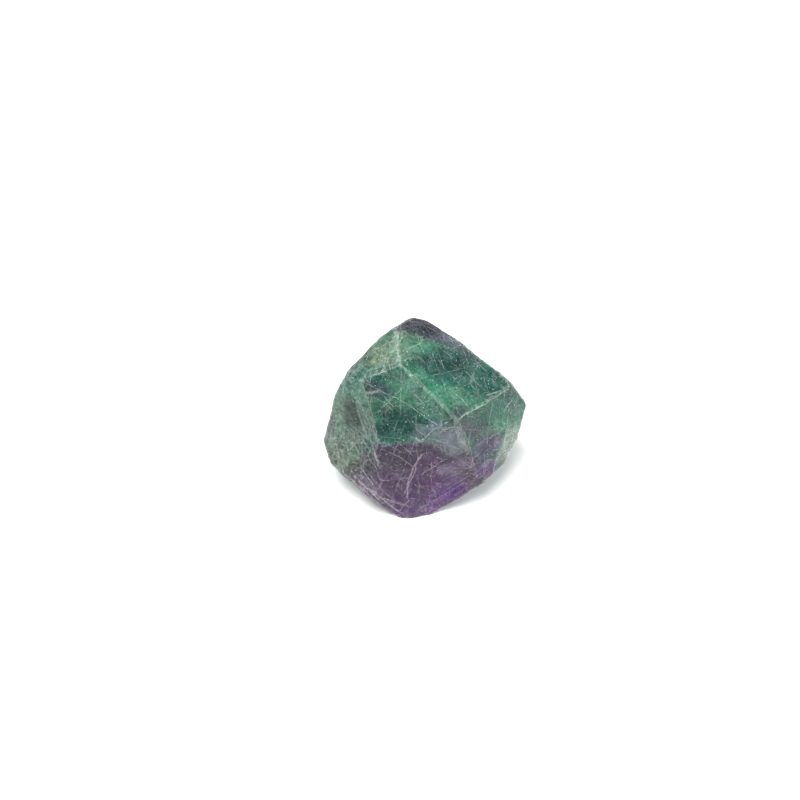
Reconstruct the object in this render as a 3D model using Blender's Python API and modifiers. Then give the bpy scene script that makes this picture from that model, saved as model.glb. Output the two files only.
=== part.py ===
"""A rough fluorite stone: one crystal mass, broken into flat cleavage faces and worn by handling.

Metres, +Z up. The stone stands on its flat broken base at z = 0, -Y is its front and the
origin is the middle of the underside of its box. It is cut from a block facet by facet,
its edges are worn round, ledges, notches and chips are split off, and a low relief of
lumps and pits is laid over the faces by how rough each one is.
"""
import math
from dataclasses import dataclass

import bmesh
import bpy
import numpy as np
from mathutils import Matrix, Vector, noise

MM = 0.001
NAME = "fluorite"

# The block that the stone is cut from, and the point that each facet's reach is measured from
BLOCK_SIZE = Vector((60.0, 60.0, 50.0)) * MM
BASE_TRIM = 1.5 * MM
HEART = Vector((0.0, 0.0, 15.5)) * MM

# Wear of the edges: the width of the rounding, in general and along the crisp cleavage edges
EDGE_WEAR = 1.5 * MM
CRISP_WEAR = 0.55 * MM
WEAR_STEPS = 3

# The worked surface: cell of the even mesh, relief wavelength, blend between faces, final count
CELL = 0.42 * MM
LUMP_SIZE = 5.0 * MM
LUMP_OCTAVES = 3
FACE_BLEND = 0.8 * MM
TRIANGLES = 7600

# The cutters: how far they reach out of the stone, how wide a slab is and how its wall leans
CUTTER_REACH = 8.0 * MM
LEDGE_WIDTH = 25.0 * MM
LEDGE_LEAN = 19.5

FLUORITE_GREEN = (0.10, 0.24, 0.17, 1.0)


@dataclass(frozen=True)
class Facet:
    """A broken face: where it looks, how far from the heart it lies, and how high its lumps are."""

    heading: float
    pitch: float
    reach: float
    lumps: float

    def normal(self):
        """Outward direction of the face."""
        level = math.cos(math.radians(self.pitch))
        turn = math.radians(self.heading)
        return Vector((level * math.cos(turn), level * math.sin(turn), math.sin(math.radians(self.pitch))))

    def side(self):
        """Level direction in the face, to the right of someone who looks at it."""
        turn = math.radians(self.heading)
        return Vector((-math.sin(turn), math.cos(turn), 0.0))

    def rise(self):
        """Direction up the slope of the face."""
        return self.normal().cross(self.side())

    def point(self, side, rise):
        """A place on the face, so many metres to the side of its foot point and up its slope."""
        return HEART + self.normal() * self.reach + self.side() * side + self.rise() * rise

    def frame(self, side, rise, turn):
        """Axes at a place on the face: x turned from level, y across it, z outward."""
        across = Matrix.Rotation(math.radians(turn), 3, self.normal())
        x_axis = across @ self.side()
        y_axis = self.normal().cross(x_axis)
        columns = Matrix((x_axis, y_axis, self.normal())).transposed()
        return Matrix.Translation(self.point(side, rise)) @ columns.to_4x4()


@dataclass(frozen=True)
class Ledge:
    """A slab split off a facet, which leaves a step with a leaning wall along a straight line.

    The line crosses the facet at (side, rise), turned from level, and the slab lies on its
    left. Its floor is depth below the facet at that place, climbs away from the wall by dip
    degrees and along the line by fade degrees.
    """

    facet: str
    side: float
    rise: float
    turn: float
    depth: float
    dip: float = 0.0
    fade: float = 0.0
    length: float = 60.0 * MM


@dataclass(frozen=True)
class Chip:
    """A shallow shell-shaped scar, struck out of a facet or an edge beside it."""

    facet: str
    side: float
    rise: float
    depth: float
    radius: float


@dataclass(frozen=True)
class Notch:
    """A corner-shaped bite in an edge, with flat cleavage walls."""

    facet: str
    side: float
    rise: float
    turn: float
    tilt: float
    depth: float


FACETS = {
    "front_upper": Facet(263.5, 33.5, 10.70 * MM, 0.10 * MM),
    "front_left": Facet(265.5, 14.0, 11.35 * MM, 0.10 * MM),
    "front_right": Facet(277.5, 11.5, 11.15 * MM, 0.11 * MM),
    "upper_right": Facet(322.5, 57.5, 11.10 * MM, 0.08 * MM),
    "lower_right": Facet(316.5, 18.5, 12.35 * MM, 0.11 * MM),
    "top_left": Facet(233.5, 60.5, 15.00 * MM, 0.13 * MM),
    "top_cap": Facet(15.5, 68.0, 14.35 * MM, 0.18 * MM),
    "left": Facet(228.0, 16.0, 13.80 * MM, 0.34 * MM),
    "front_foot": Facet(261.0, 2.0, 14.05 * MM, 0.30 * MM),
    "right_foot": Facet(283.0, 1.0, 12.85 * MM, 0.22 * MM),
    "back_right": Facet(55.0, 17.0, 12.15 * MM, 0.22 * MM),
    "back": Facet(90.0, 9.0, 12.10 * MM, 0.20 * MM),
    "crown": Facet(132.5, 31.0, 15.35 * MM, 0.16 * MM),
    "back_left": Facet(139.0, 17.5, 13.20 * MM, 0.26 * MM),
    "left_far": Facet(156.0, 7.5, 15.60 * MM, 0.28 * MM),
    "left_low": Facet(183.0, -21.5, 20.15 * MM, 0.28 * MM),
    "right_shoulder": Facet(37.0, 23.5, 15.30 * MM, 0.16 * MM),
    "right_far": Facet(5.5, -22.5, 18.40 * MM, 0.18 * MM),
    "under_right": Facet(347.5, -28.5, 18.45 * MM, 0.20 * MM),
    "under_front": Facet(326.5, -48.0, 17.20 * MM, 0.26 * MM),
    "under_left": Facet(214.5, -42.0, 19.40 * MM, 0.30 * MM),
}

CRISP_EDGES = (
    {"front_upper", "upper_right"},
    {"upper_right", "lower_right"},
    {"front_right", "lower_right"},
    {"front_upper", "front_left"},
    {"front_upper", "front_right"},
    {"front_left", "front_right"},
    {"front_upper", "left"},
    {"front_left", "left"},
    {"front_left", "front_foot"},
    {"front_right", "right_foot"},
    {"right_foot", "under_front"},
)

LEDGES = (
    Ledge("lower_right", 6.0 * MM, -9.5 * MM, 226.0, 0.50 * MM, fade=-4.0),
    Ledge("front_left", -4.6 * MM, -12.2 * MM, 170.0, 0.30 * MM, dip=5.0, length=7.0 * MM),
    Ledge("left", -4.4 * MM, 1.0 * MM, 124.0, 0.50 * MM, dip=6.0, fade=3.0),
    Ledge("top_left", -7.0 * MM, 8.6 * MM, 84.0, 0.30 * MM),
    Ledge("top_left", -7.6 * MM, 8.2 * MM, 44.0, 0.35 * MM),
    Ledge("back", 2.0 * MM, -1.0 * MM, 196.0, 0.90 * MM),
    Ledge("back", -8.0 * MM, 2.0 * MM, 104.0, 0.55 * MM),
    Ledge("back", 3.0 * MM, 6.0 * MM, 250.0, 0.45 * MM, dip=3.0),
    Ledge("back_left", -2.0 * MM, -2.0 * MM, 160.0, 0.80 * MM),
    Ledge("back_left", 2.0 * MM, 3.0 * MM, 300.0, 0.40 * MM, dip=4.0),
    Ledge("back_right", 3.0 * MM, 0.0 * MM, 225.0, 0.70 * MM),
    Ledge("left_far", 0.0 * MM, -3.0 * MM, 150.0, 0.50 * MM, dip=3.0),
)

CHIPS = (
    Chip("top_cap", 4.8 * MM, 3.9 * MM, 0.32 * MM, 6.5 * MM),
    Chip("upper_right", 9.4 * MM, -5.4 * MM, 0.25 * MM, 5.0 * MM),
    Chip("left", -7.6 * MM, -2.5 * MM, 0.60 * MM, 8.0 * MM),
    Chip("right_foot", 3.0 * MM, -9.0 * MM, 0.35 * MM, 8.0 * MM),
    Chip("back", -3.0 * MM, 8.0 * MM, 0.55 * MM, 7.0 * MM),
    Chip("back", 7.0 * MM, -8.5 * MM, 1.40 * MM, 6.0 * MM),
    Chip("back_left", 4.5 * MM, 6.0 * MM, 0.60 * MM, 7.0 * MM),
    Chip("back_right", -3.5 * MM, -6.0 * MM, 0.60 * MM, 5.0 * MM),
    Chip("left_far", 1.0 * MM, 4.0 * MM, 0.55 * MM, 6.0 * MM),
    Chip("right_far", 2.0 * MM, 3.5 * MM, 0.50 * MM, 5.5 * MM),
    Chip("back", 12.0 * MM, -3.0 * MM, 1.00 * MM, 4.0 * MM),
)

NOTCHES = (
    Notch("lower_right", 0.4 * MM, -12.2 * MM, 300.0, 25.0, 0.45 * MM),
    Notch("right_foot", 5.8 * MM, -10.7 * MM, 310.0, 25.0, 0.40 * MM),
    Notch("lower_right", 3.7 * MM, -12.4 * MM, 295.0, 20.0, 0.40 * MM),
    Notch("under_front", 2.0 * MM, -2.0 * MM, 20.0, 4.0, 0.60 * MM),
)


def clear_scene():
    """Removes every object, so that the script can be run again."""
    for thing in list(bpy.data.objects):
        bpy.data.objects.remove(thing, do_unlink=True)


def new_collection(name):
    """Returns an empty collection of this name, linked to the scene."""
    old = bpy.data.collections.get(name)
    if old:
        bpy.data.collections.remove(old)
    fresh = bpy.data.collections.new(name)
    bpy.context.scene.collection.children.link(fresh)
    return fresh


def add_object(name, worked, collection):
    """Turns a bmesh into an object of the collection."""
    mesh = bpy.data.meshes.new(name)
    worked.to_mesh(mesh)
    worked.free()
    thing = bpy.data.objects.new(name, mesh)
    collection.objects.link(thing)
    return thing


def split_off(worked, point, normal):
    """Splits off what lies beyond a plane and closes the stone there with a flat face."""
    everything = worked.verts[:] + worked.edges[:] + worked.faces[:]
    cut = bmesh.ops.bisect_plane(
        worked, geom=everything, dist=0.001 * MM, plane_co=point, plane_no=normal, clear_outer=True
    )
    rim = [item for item in cut["geom_cut"] if isinstance(item, bmesh.types.BMEdge)]
    bmesh.ops.holes_fill(worked, edges=rim, sides=0)


def facet_of(face):
    """Name of the facet that a flat face of the block lies in, or None for the block's own."""
    best = max(FACETS, key=lambda name: FACETS[name].normal().dot(face.normal))
    return best if FACETS[best].normal().dot(face.normal) > 0.9999 else None


def mark_wear(worked):
    """Gives each edge its share of the full wear."""
    share = worked.edges.layers.float.new("bevel_weight_edge")
    for edge in worked.edges:
        pair = {facet_of(face) for face in edge.link_faces}
        edge[share] = CRISP_WEAR / EDGE_WEAR if pair in CRISP_EDGES else 1.0


def rough_block(collection):
    """The stone as plain facets, with the rounding of its edges as a Bevel modifier."""
    worked = bmesh.new()
    bmesh.ops.create_cube(worked, size=1.0)
    bmesh.ops.scale(worked, vec=BLOCK_SIZE, verts=worked.verts)
    bmesh.ops.translate(worked, vec=(0.0, 0.0, BLOCK_SIZE.z / 2 - BASE_TRIM), verts=worked.verts)
    for facet in FACETS.values():
        split_off(worked, facet.point(0.0, 0.0), facet.normal())
    bmesh.ops.recalc_face_normals(worked, faces=worked.faces)
    mark_wear(worked)
    stone = add_object(NAME, worked, collection)
    wear = stone.modifiers.new("edge wear", "BEVEL")
    wear.limit_method = "WEIGHT"
    wear.width = EDGE_WEAR
    wear.segments = WEAR_STEPS
    return stone


def ledge_cutter(number, ledge, collection):
    """A slab whose wall leans as one cleavage plane leans on another."""
    worked = bmesh.new()
    bmesh.ops.create_cube(worked, size=1.0)
    bmesh.ops.translate(worked, vec=(0.0, 0.5, 0.5), verts=worked.verts)
    bmesh.ops.scale(worked, vec=(ledge.length, LEDGE_WIDTH, CUTTER_REACH), verts=worked.verts)
    lean = math.tan(math.radians(LEDGE_LEAN))
    dip = math.tan(math.radians(ledge.dip))
    fade = math.tan(math.radians(ledge.fade))
    for vertex in worked.verts:
        climb = dip * vertex.co.y + fade * vertex.co.x
        if vertex.co.y == 0.0:
            vertex.co.y = -lean * vertex.co.z
        vertex.co.z += climb - ledge.depth
    frame = FACETS[ledge.facet].frame(ledge.side, ledge.rise, ledge.turn)
    bmesh.ops.transform(worked, matrix=frame, verts=worked.verts)
    return add_object(f"ledge_cutter_{number:02d}", worked, collection)


def chip_cutter(number, chip, collection):
    """A ball that dips into the stone and leaves a shell-shaped scar."""
    worked = bmesh.new()
    bmesh.ops.create_uvsphere(worked, u_segments=48, v_segments=24, radius=chip.radius)
    facet = FACETS[chip.facet]
    middle = facet.point(chip.side, chip.rise) + facet.normal() * (chip.radius - chip.depth)
    bmesh.ops.translate(worked, vec=middle, verts=worked.verts)
    return add_object(f"chip_cutter_{number:02d}", worked, collection)


def notch_cutter(number, notch, collection):
    """A cube that bites into an edge with one of its own edges."""
    worked = bmesh.new()
    bmesh.ops.create_cube(worked, size=CUTTER_REACH)
    on_edge = Matrix.Rotation(math.radians(45.0), 4, "X")
    tilted = Matrix.Rotation(math.radians(notch.tilt), 4, "Y")
    lift = Matrix.Translation((0.0, 0.0, CUTTER_REACH / math.sqrt(2.0) - notch.depth))
    frame = FACETS[notch.facet].frame(notch.side, notch.rise, notch.turn)
    bmesh.ops.transform(worked, matrix=frame @ tilted @ lift @ on_edge, verts=worked.verts)
    return add_object(f"notch_cutter_{number:02d}", worked, collection)


def break_off(stone, cutters):
    """Makes the ledges, chips and notches, each with a Boolean modifier and its cutter."""
    shapes = [ledge_cutter(number, ledge, cutters) for number, ledge in enumerate(LEDGES, 1)]
    shapes += [chip_cutter(number, chip, cutters) for number, chip in enumerate(CHIPS, 1)]
    shapes += [notch_cutter(number, notch, cutters) for number, notch in enumerate(NOTCHES, 1)]
    for cutter in shapes:
        cutter.hide_render = True
        cutter.display_type = "WIRE"
        cut = stone.modifiers.new(cutter.name, "BOOLEAN")
        cut.operation = "DIFFERENCE"
        cut.solver = "EXACT"
        cut.object = cutter


def even_mesh(stone):
    """Adds a voxel Remesh, which gives the relief an even mesh to work on."""
    cells = stone.modifiers.new("even mesh", "REMESH")
    cells.mode = "VOXEL"
    cells.voxel_size = CELL
    cells.use_smooth_shade = True


def settle(stone):
    """Replaces the stone's mesh with what its modifiers make of it."""
    view = bpy.context.evaluated_depsgraph_get()
    worked = bpy.data.meshes.new_from_object(stone.evaluated_get(view))
    stone.modifiers.clear()
    old = stone.data
    stone.data = worked
    bpy.data.meshes.remove(old)
    worked.name = NAME


def lump_heights(points):
    """Height of the lumps at each point, blended between the facets that it lies close to."""
    normals = np.array([facet.normal() for facet in FACETS.values()])
    reaches = np.array([facet.reach for facet in FACETS.values()])
    lumps = np.array([facet.lumps for facet in FACETS.values()])
    depth = np.maximum(reaches - (points - np.array(HEART)) @ normals.T, 0.0)
    closeness = np.exp(-depth / FACE_BLEND)
    return (closeness * lumps).sum(axis=1) / np.maximum(closeness.sum(axis=1), 1e-9)


def lay_relief(stone):
    """Raises low lumps and sinks shallow pits over the faces, along each vertex's normal."""
    mesh = stone.data
    count = len(mesh.vertices)
    points = np.empty(count * 3, dtype=np.float32)
    normals = np.empty(count * 3, dtype=np.float32)
    mesh.vertices.foreach_get("co", points)
    mesh.vertex_normals.foreach_get("vector", normals)
    points = points.reshape(-1, 3).astype(float)
    normals = normals.reshape(-1, 3).astype(float)
    waves = np.array([
        noise.fractal(Vector(point) / LUMP_SIZE, 0.9, 2.1, LUMP_OCTAVES) for point in points
    ])
    pits = np.array([noise.ridged_multi_fractal(Vector(point) / LUMP_SIZE, 1.0, 2.2, 3, 0.9, 2.0)
                     for point in points])
    shape = waves - 0.25 * (pits - pits.mean())
    moved = points + normals * (shape * lump_heights(points))[:, None]
    mesh.vertices.foreach_set("co", moved.astype(np.float32).ravel())
    mesh.update()


def thin_out(stone):
    """Adds a Decimate modifier that keeps the ledges and edges and spends less on flat faces."""
    mesh = stone.data
    mesh.calc_loop_triangles()
    fewer = stone.modifiers.new("fewer triangles", "DECIMATE")
    fewer.decimate_type = "COLLAPSE"
    fewer.ratio = TRIANGLES / len(mesh.loop_triangles)


def flat_base(stone):
    """Splits the stone flat at z = 0 and centres it over the origin."""
    worked = bmesh.new()
    worked.from_mesh(stone.data)
    split_off(worked, Vector((0.0, 0.0, 0.0)), Vector((0.0, 0.0, -1.0)))
    low = Vector([min(vertex.co[axis] for vertex in worked.verts) for axis in range(3)])
    high = Vector([max(vertex.co[axis] for vertex in worked.verts) for axis in range(3)])
    middle = (low + high) / 2
    bmesh.ops.translate(worked, vec=(-middle.x, -middle.y, 0.0), verts=worked.verts)
    bmesh.ops.recalc_face_normals(worked, faces=worked.faces)
    worked.to_mesh(stone.data)
    worked.free()


def fluorite_material():
    """The stone's green, as one plain finish."""
    finish = bpy.data.materials.new("fluorite green")
    finish.use_nodes = True
    shader = finish.node_tree.nodes["Principled BSDF"]
    shader.inputs["Base Color"].default_value = FLUORITE_GREEN
    shader.inputs["Roughness"].default_value = 0.35
    shader.inputs["Metallic"].default_value = 0.0
    finish.diffuse_color = FLUORITE_GREEN
    return finish


def main():
    """Builds the stone."""
    clear_scene()
    parts = new_collection(NAME)
    cutters = new_collection("cutters")
    stone = rough_block(parts)
    break_off(stone, cutters)
    even_mesh(stone)
    settle(stone)
    lay_relief(stone)
    thin_out(stone)
    settle(stone)
    flat_base(stone)
    stone.data.materials.clear()
    stone.data.materials.append(fluorite_material())


main()
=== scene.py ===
"""Looks of a rough fluorite stone: the worked crystal surface, its colour zones and healed cracks.

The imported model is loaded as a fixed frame. The stone's own fine mesh is made from the frame's
solid and stands in its place. Lengths in names that end in _MM or _mm are millimetres; places
that were read off the photograph are pixels of its 800 x 800 frame, and the photograph's scale
turns them into millimetres.
"""
import logging
import math
from dataclasses import dataclass
from enum import Enum

import bpy
import numpy as np
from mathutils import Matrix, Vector, noise
from mathutils.bvhtree import BVHTree


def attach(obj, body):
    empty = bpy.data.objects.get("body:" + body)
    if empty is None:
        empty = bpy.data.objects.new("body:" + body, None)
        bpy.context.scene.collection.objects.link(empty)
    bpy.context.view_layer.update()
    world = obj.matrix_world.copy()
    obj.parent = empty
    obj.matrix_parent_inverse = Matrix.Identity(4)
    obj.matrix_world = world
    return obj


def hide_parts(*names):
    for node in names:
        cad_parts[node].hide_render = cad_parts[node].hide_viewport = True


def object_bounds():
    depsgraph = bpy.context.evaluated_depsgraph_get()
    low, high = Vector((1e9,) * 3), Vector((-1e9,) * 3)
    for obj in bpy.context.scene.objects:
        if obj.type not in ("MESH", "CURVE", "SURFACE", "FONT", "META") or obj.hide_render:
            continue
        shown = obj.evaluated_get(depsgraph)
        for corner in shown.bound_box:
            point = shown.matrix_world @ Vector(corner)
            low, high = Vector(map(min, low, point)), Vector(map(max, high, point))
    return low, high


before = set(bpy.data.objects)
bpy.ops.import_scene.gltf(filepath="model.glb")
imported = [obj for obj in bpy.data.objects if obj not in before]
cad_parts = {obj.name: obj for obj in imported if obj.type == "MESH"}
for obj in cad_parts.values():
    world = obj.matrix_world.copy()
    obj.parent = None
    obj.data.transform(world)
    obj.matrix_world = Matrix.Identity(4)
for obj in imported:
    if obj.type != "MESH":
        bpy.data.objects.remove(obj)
CAD_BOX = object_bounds()

log = logging.getLogger("fluorite")

MM = 0.001
NODE = "fluorite"

# The photograph: its scale, its size, and the stone's near corner in it and in the frame
PIXEL_MM = 0.19
PICTURE_SIZE = 800
NEAR_CORNER_PIXEL = (457.0, 420.0)
NEAR_CORNER_MM = Vector((6.1, -9.3, 22.0))
VIEW_ELEVATION = 45.0

# Directions of the photograph in the frame: right, up and towards the viewer
RISE = math.radians(VIEW_ELEVATION)
RIGHT = Vector((1.0, 0.0, 0.0))
UP = Vector((0.0, math.sin(RISE), math.cos(RISE)))
TOWARDS = Vector((0.0, -math.cos(RISE), math.sin(RISE)))

# Noise mostly stays within a quarter of its middle, so this makes its reach about 1
NOISE_SPAN = 4.0

# Keeps a weighted mean defined far from every face
LEAST_WEIGHT = 1e-9

# The point inside the stone that the reach of each broken face is measured from
HEART_MM = Vector((0.0, 0.0, 15.5))

Colour = tuple[float, float, float]
Socket = bpy.types.NodeSocket
Pixel = tuple[float, float]


def tone(red: int, green: int, blue: int) -> Colour:
    """Returns a linear colour for a colour named as it looks on a screen, 0 to 255 a channel."""
    def linear(level: int) -> float:
        """Returns one channel's linear value."""
        share = level / 255.0
        return share / 12.92 if share <= 0.04045 else ((share + 0.055) / 1.055) ** 2.4
    return linear(red), linear(green), linear(blue)


def picture_mm(pixel: Pixel) -> Vector:
    """Measures a place in the photograph.

    Args:
        pixel: The place, in pixels right of and below the photograph's upper left corner.

    Returns:
        Millimetres right of and above the stone's near corner.
    """
    across = (pixel[0] - NEAR_CORNER_PIXEL[0]) * PIXEL_MM
    above = (NEAR_CORNER_PIXEL[1] - pixel[1]) * PIXEL_MM
    return Vector((across, above, 0.0))


def direction(heading: float, pitch: float) -> Vector:
    """Returns the unit vector at a heading and a pitch, both in degrees."""
    turn, lift = math.radians(heading), math.radians(pitch)
    return Vector((math.cos(lift) * math.cos(turn), math.cos(lift) * math.sin(turn), math.sin(lift)))


class Value:
    """A number socket that arithmetic can be written with; each operation adds a Math node."""

    def __init__(self, graph: "Graph", socket: Socket) -> None:
        """Wraps a socket of a graph."""
        self.graph = graph
        self.socket = socket

    def __add__(self, other: "Value | float") -> "Value":
        """Returns the sum."""
        return self.graph.math("ADD", self, other)

    __radd__ = __add__

    def __sub__(self, other: "Value | float") -> "Value":
        """Returns the difference."""
        return self.graph.math("SUBTRACT", self, other)

    def __rsub__(self, other: float) -> "Value":
        """Returns other minus this."""
        return self.graph.math("SUBTRACT", other, self)

    def __mul__(self, other: "Value | float") -> "Value":
        """Returns the product."""
        return self.graph.math("MULTIPLY", self, other)

    __rmul__ = __mul__

    def least(self, other: "Value | float") -> "Value":
        """Returns the smaller of the two."""
        return self.graph.math("MINIMUM", self, other)

    def most(self, other: "Value | float") -> "Value":
        """Returns the larger of the two."""
        return self.graph.math("MAXIMUM", self, other)

    def rise(self, start: float, end: float, low: float = 0.0, high: float = 1.0) -> "Value":
        """Goes smoothly from low to high as this goes from start to end.

        Args:
            start: Where the change starts; it may lie above end.
            end: Where the change ends.
            low: Result at start and before it.
            high: Result at end and after it.

        Returns:
            The smooth step.
        """
        node = self.graph.node(
            "ShaderNodeMapRange",
            {"interpolation_type": "SMOOTHSTEP"},
            {"Value": self, "From Min": start, "From Max": end, "To Min": low, "To Max": high},
        )
        return Value(self.graph, node.outputs["Result"])


class Graph:
    """A material's node tree, built from expressions."""

    def __init__(self, name: str) -> None:
        """Starts an empty material."""
        self.material = bpy.data.materials.new(name)
        self.material.use_nodes = True
        self.tree = self.material.node_tree
        self.tree.nodes.clear()

    def node(self, kind: str, settings: dict, sockets: dict) -> bpy.types.Node:
        """Adds a node.

        Args:
            kind: The node's type.
            settings: Its own properties, set before its sockets; "stops" fills a colour ramp.
            sockets: Values or links of its inputs, by name or number.

        Returns:
            The node.
        """
        node = self.tree.nodes.new(kind)
        for name, setting in settings.items():
            if name == "stops":
                self._fill_ramp(node.color_ramp, setting)
            else:
                setattr(node, name, setting)
        for name, given in sockets.items():
            source = given.socket if isinstance(given, Value) else given
            if isinstance(source, bpy.types.NodeSocket):
                self.tree.links.new(source, node.inputs[name])
            elif isinstance(source, tuple) and node.inputs[name].type == "RGBA":
                node.inputs[name].default_value = (*source, 1.0)
            else:
                node.inputs[name].default_value = source
        return node

    @staticmethod
    def _fill_ramp(ramp: bpy.types.ColorRamp, stops: list[tuple[float, Colour]]) -> None:
        """Gives a ramp its stops.

        Args:
            ramp: The ramp.
            stops: The place of each, from 0 to 1, and its colour.
        """
        while len(ramp.elements) < len(stops):
            ramp.elements.new(1.0)
        for element, (place, colour) in zip(ramp.elements, stops):
            element.position = place
            element.color = (*colour, 1.0)

    def math(self, operation: str, *operands: Value | float) -> Value:
        """Returns the result of a Math node on these operands."""
        node = self.node("ShaderNodeMath", {"operation": operation}, dict(enumerate(operands)))
        return Value(self, node.outputs[0])

    def vector(
        self,
        operation: str,
        first: Socket | Colour,
        second: Socket | Colour | None = None,
        factor: Value | float | None = None,
    ) -> Value | Socket:
        """Adds a Vector Math node.

        Args:
            operation: Name of the operation.
            first: Vector or socket.
            second: Vector or socket, where the operation takes one.
            factor: Factor of SCALE.

        Returns:
            A Value for DOT_PRODUCT and LENGTH, or else the vector's socket.
        """
        sockets = {0: first}
        if second is not None:
            sockets[1] = second
        if factor is not None:
            sockets["Scale"] = factor
        node = self.node("ShaderNodeVectorMath", {"operation": operation}, sockets)
        if operation in ("DOT_PRODUCT", "LENGTH"):
            return Value(self, node.outputs["Value"])
        return node.outputs["Vector"]

    def blend(
        self, share: Value | float, under: Socket | Colour, over: Socket | Colour, mode: str = "MIX"
    ) -> Socket:
        """Lays one colour over another.

        Args:
            share: How much of the upper colour shows, 0 to 1.
            under: Colour or socket below.
            over: Colour or socket above.
            mode: Blend mode of the Mix node.

        Returns:
            The mixed colour's socket.
        """
        settings = {"data_type": "RGBA", "blend_type": mode, "clamp_factor": True}
        node = self.node("ShaderNodeMix", settings, {0: share, 6: under, 7: over})
        return node.outputs[2]

    def cloud(
        self, place: Socket, size_mm: float, detail: float = 2.0, roughness: float = 0.5
    ) -> Value:
        """Returns fractal noise around 0.5 whose largest lumps are about size_mm wide."""
        sockets = {"Vector": place, "Scale": 1.0 / size_mm, "Detail": detail, "Roughness": roughness}
        return Value(self, self.node("ShaderNodeTexNoise", {}, sockets).outputs["Fac"])

    def stirred(self, place: Socket, size_mm: float, reach_mm: float, detail: float = 1.0) -> Socket:
        """Returns a place pushed about by noise.

        Args:
            place: The place to move.
            size_mm: Width of the noise's lumps.
            reach_mm: About how far it moves.
            detail: Octaves of the noise.

        Returns:
            The moved place's socket.
        """
        sockets = {"Vector": place, "Scale": 1.0 / size_mm, "Detail": detail}
        push = self.node("ShaderNodeTexNoise", {}, sockets).outputs["Color"]
        centred = self.vector("SUBTRACT", push, (0.5, 0.5, 0.5))
        return self.vector("ADD", place, self.vector("SCALE", centred, factor=NOISE_SPAN * reach_mm))

    def attribute(self, name: str) -> Value:
        """Returns a number kept on the mesh."""
        node = self.node("ShaderNodeAttribute", {"attribute_name": name}, {})
        return Value(self, node.outputs["Fac"])


class Face(Enum):
    """Broken faces: heading and pitch in degrees, reach from the heart in mm, roughness 0 to 1."""

    FRONT_UPPER = (263.5, 33.5, 10.70, 0.0)
    FRONT_LEFT = (265.5, 14.0, 11.35, 0.1)
    FRONT_RIGHT = (277.5, 11.5, 11.15, 0.05)
    UPPER_RIGHT = (322.5, 57.5, 11.10, 0.0)
    LOWER_RIGHT = (316.5, 18.5, 12.35, 0.05)
    TOP_LEFT = (233.5, 60.5, 15.00, 0.1)
    TOP_CAP = (15.5, 68.0, 14.35, 0.4)
    LEFT = (228.0, 16.0, 13.80, 0.7)
    FRONT_FOOT = (261.0, 2.0, 14.05, 0.6)
    RIGHT_FOOT = (283.0, 1.0, 12.85, 0.4)
    BACK_RIGHT = (55.0, 17.0, 12.15, 0.3)
    BACK = (90.0, 9.0, 12.10, 0.2)
    CROWN = (132.5, 31.0, 15.35, 0.2)
    BACK_LEFT = (139.0, 17.5, 13.20, 0.35)
    LEFT_FAR = (156.0, 7.5, 15.60, 0.6)
    LEFT_LOW = (183.0, -21.5, 20.15, 0.8)
    RIGHT_SHOULDER = (37.0, 23.5, 15.30, 0.2)
    RIGHT_FAR = (5.5, -22.5, 18.40, 0.5)
    UNDER_RIGHT = (347.5, -28.5, 18.45, 0.6)
    UNDER_FRONT = (326.5, -48.0, 17.20, 0.6)
    UNDER_LEFT = (214.5, -42.0, 19.40, 0.8)

    def normal(self) -> Vector:
        """Returns the face's outward direction."""
        return direction(self.value[0], self.value[1])

    def plane(self) -> float:
        """Returns how far the face's plane is from the frame's origin, in millimetres."""
        return self.value[2] + self.normal().dot(HEART_MM)


class Tone(Enum):
    """The stone's colours, as they look."""

    DEEP_TEAL = tone(0, 76, 66)
    TEAL = tone(24, 104, 88)
    VIVID_GREEN = tone(48, 141, 110)
    GLOWING_GREEN = tone(82, 168, 130)
    MID_GREEN = tone(66, 138, 108)
    PALE_GREEN = tone(84, 152, 120)
    PALE_MINT = tone(128, 168, 138)
    YELLOW_MINT = tone(150, 170, 134)
    # Painted light: the pale glow of the thin right rim, where light shines through the crystal
    RIM_MINT = tone(184, 200, 188)
    HAZE_GREEN = tone(92, 144, 126)
    GREY_GREEN = tone(80, 122, 106)
    FROST_GREEN = tone(88, 114, 98)
    MILK = tone(124, 126, 132)
    DARK_GREEN = tone(4, 52, 36)
    SLATE_TEAL = tone(66, 76, 86)
    DARK_SLATE = tone(20, 32, 50)
    SLATE = tone(56, 64, 86)
    GREY_MAUVE = tone(88, 94, 108)
    GREY_PANE = tone(116, 120, 132)
    PALE_PANE = tone(148, 152, 156)
    BLUE_GREY = tone(116, 136, 144)
    LAVENDER = tone(140, 136, 164)
    SLATE_BLUE = tone(94, 80, 124)
    PLUM = tone(60, 26, 78)
    DARK_PLUM = tone(42, 18, 60)
    RED_PLUM = tone(74, 26, 88)
    VIOLET = tone(94, 20, 130)
    MAGENTA = tone(138, 62, 152)
    SLATE_PLUM = tone(108, 88, 122)
    LILAC = tone(150, 132, 164)
    # Pale colour of the healed cracks, also used for the painted glints and the painted glow of thin parts
    PALE_VEIN = tone(198, 200, 192)
    ROSE_VEIN = tone(178, 146, 176)


@dataclass(frozen=True)
class Pool:
    """A soft-edged patch of colour on the stone, placed and sized as it is seen in the photograph.

    The half widths run along and across a line that is tilted by some degrees in the picture. A
    face keeps the patch on one broken face.
    """

    name: str
    pixel: Pixel
    along_mm: float
    across_mm: float
    tilt: float
    tone: Tone
    strength: float
    face: Face | None = None


@dataclass(frozen=True)
class Crack:
    """A healed crack, as the line that it draws on the surface in the photograph."""

    name: str
    route: tuple[Pixel, ...]
    width_mm: float
    strength: float


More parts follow.
